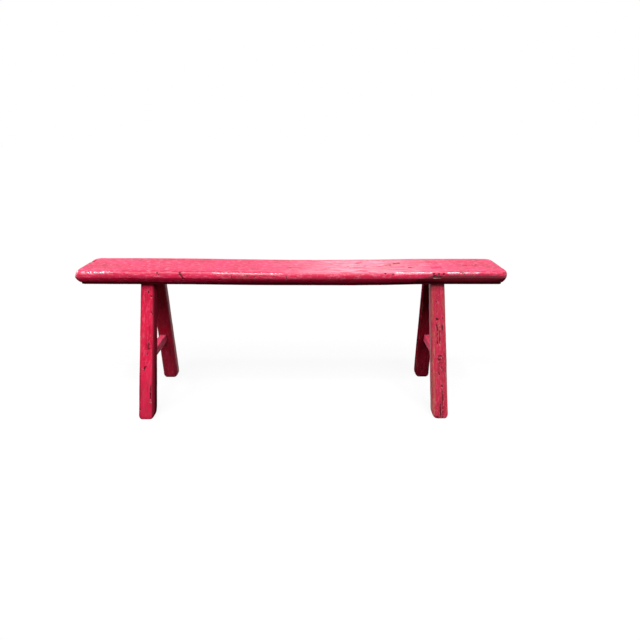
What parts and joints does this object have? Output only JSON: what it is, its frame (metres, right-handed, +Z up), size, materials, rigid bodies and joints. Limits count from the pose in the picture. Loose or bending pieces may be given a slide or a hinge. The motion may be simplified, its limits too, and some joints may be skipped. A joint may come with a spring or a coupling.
{
  "type": "slim bench",
  "caption": "Long slim wooden bench: a thick bullnosed plank on splayed legs, with a stretcher between the legs of each end, worn glossy red paint.",
  "frame": {"origin": "on the floor, under the middle of the plank", "axes": "+X along the plank towards the right as pictured, +Y away from the camera towards the back, +Z up"},
  "size_m": [1.402, 0.3388, 0.5],
  "materials": {
    "seat_paint": "worn glossy crimson paint over solid wood, with grain and chips",
    "leg_paint": "worn glossy crimson paint over solid wood, rubbed and chipped at the arrises",
    "stretcher_paint": "worn glossy crimson paint over solid wood",
    "wedge_paint": "crimson paint over end grain"
  },
  "bodies": {
    "root": {"seat_plank": "seat_paint", "leg_front_left": "leg_paint", "leg_front_right": "leg_paint", "leg_back_left": "leg_paint", "leg_back_right": "leg_paint", "stretcher_left": "stretcher_paint", "stretcher_right": "stretcher_paint", "leg_wedge_front_left": "wedge_paint", "leg_wedge_front_right": "wedge_paint", "leg_wedge_back_left": "wedge_paint", "leg_wedge_back_right": "wedge_paint", "stretcher_wedge_front_left": "wedge_paint", "stretcher_wedge_front_right": "wedge_paint", "stretcher_wedge_back_left": "wedge_paint", "stretcher_wedge_back_right": "wedge_paint"}
  },
  "joints": []
}
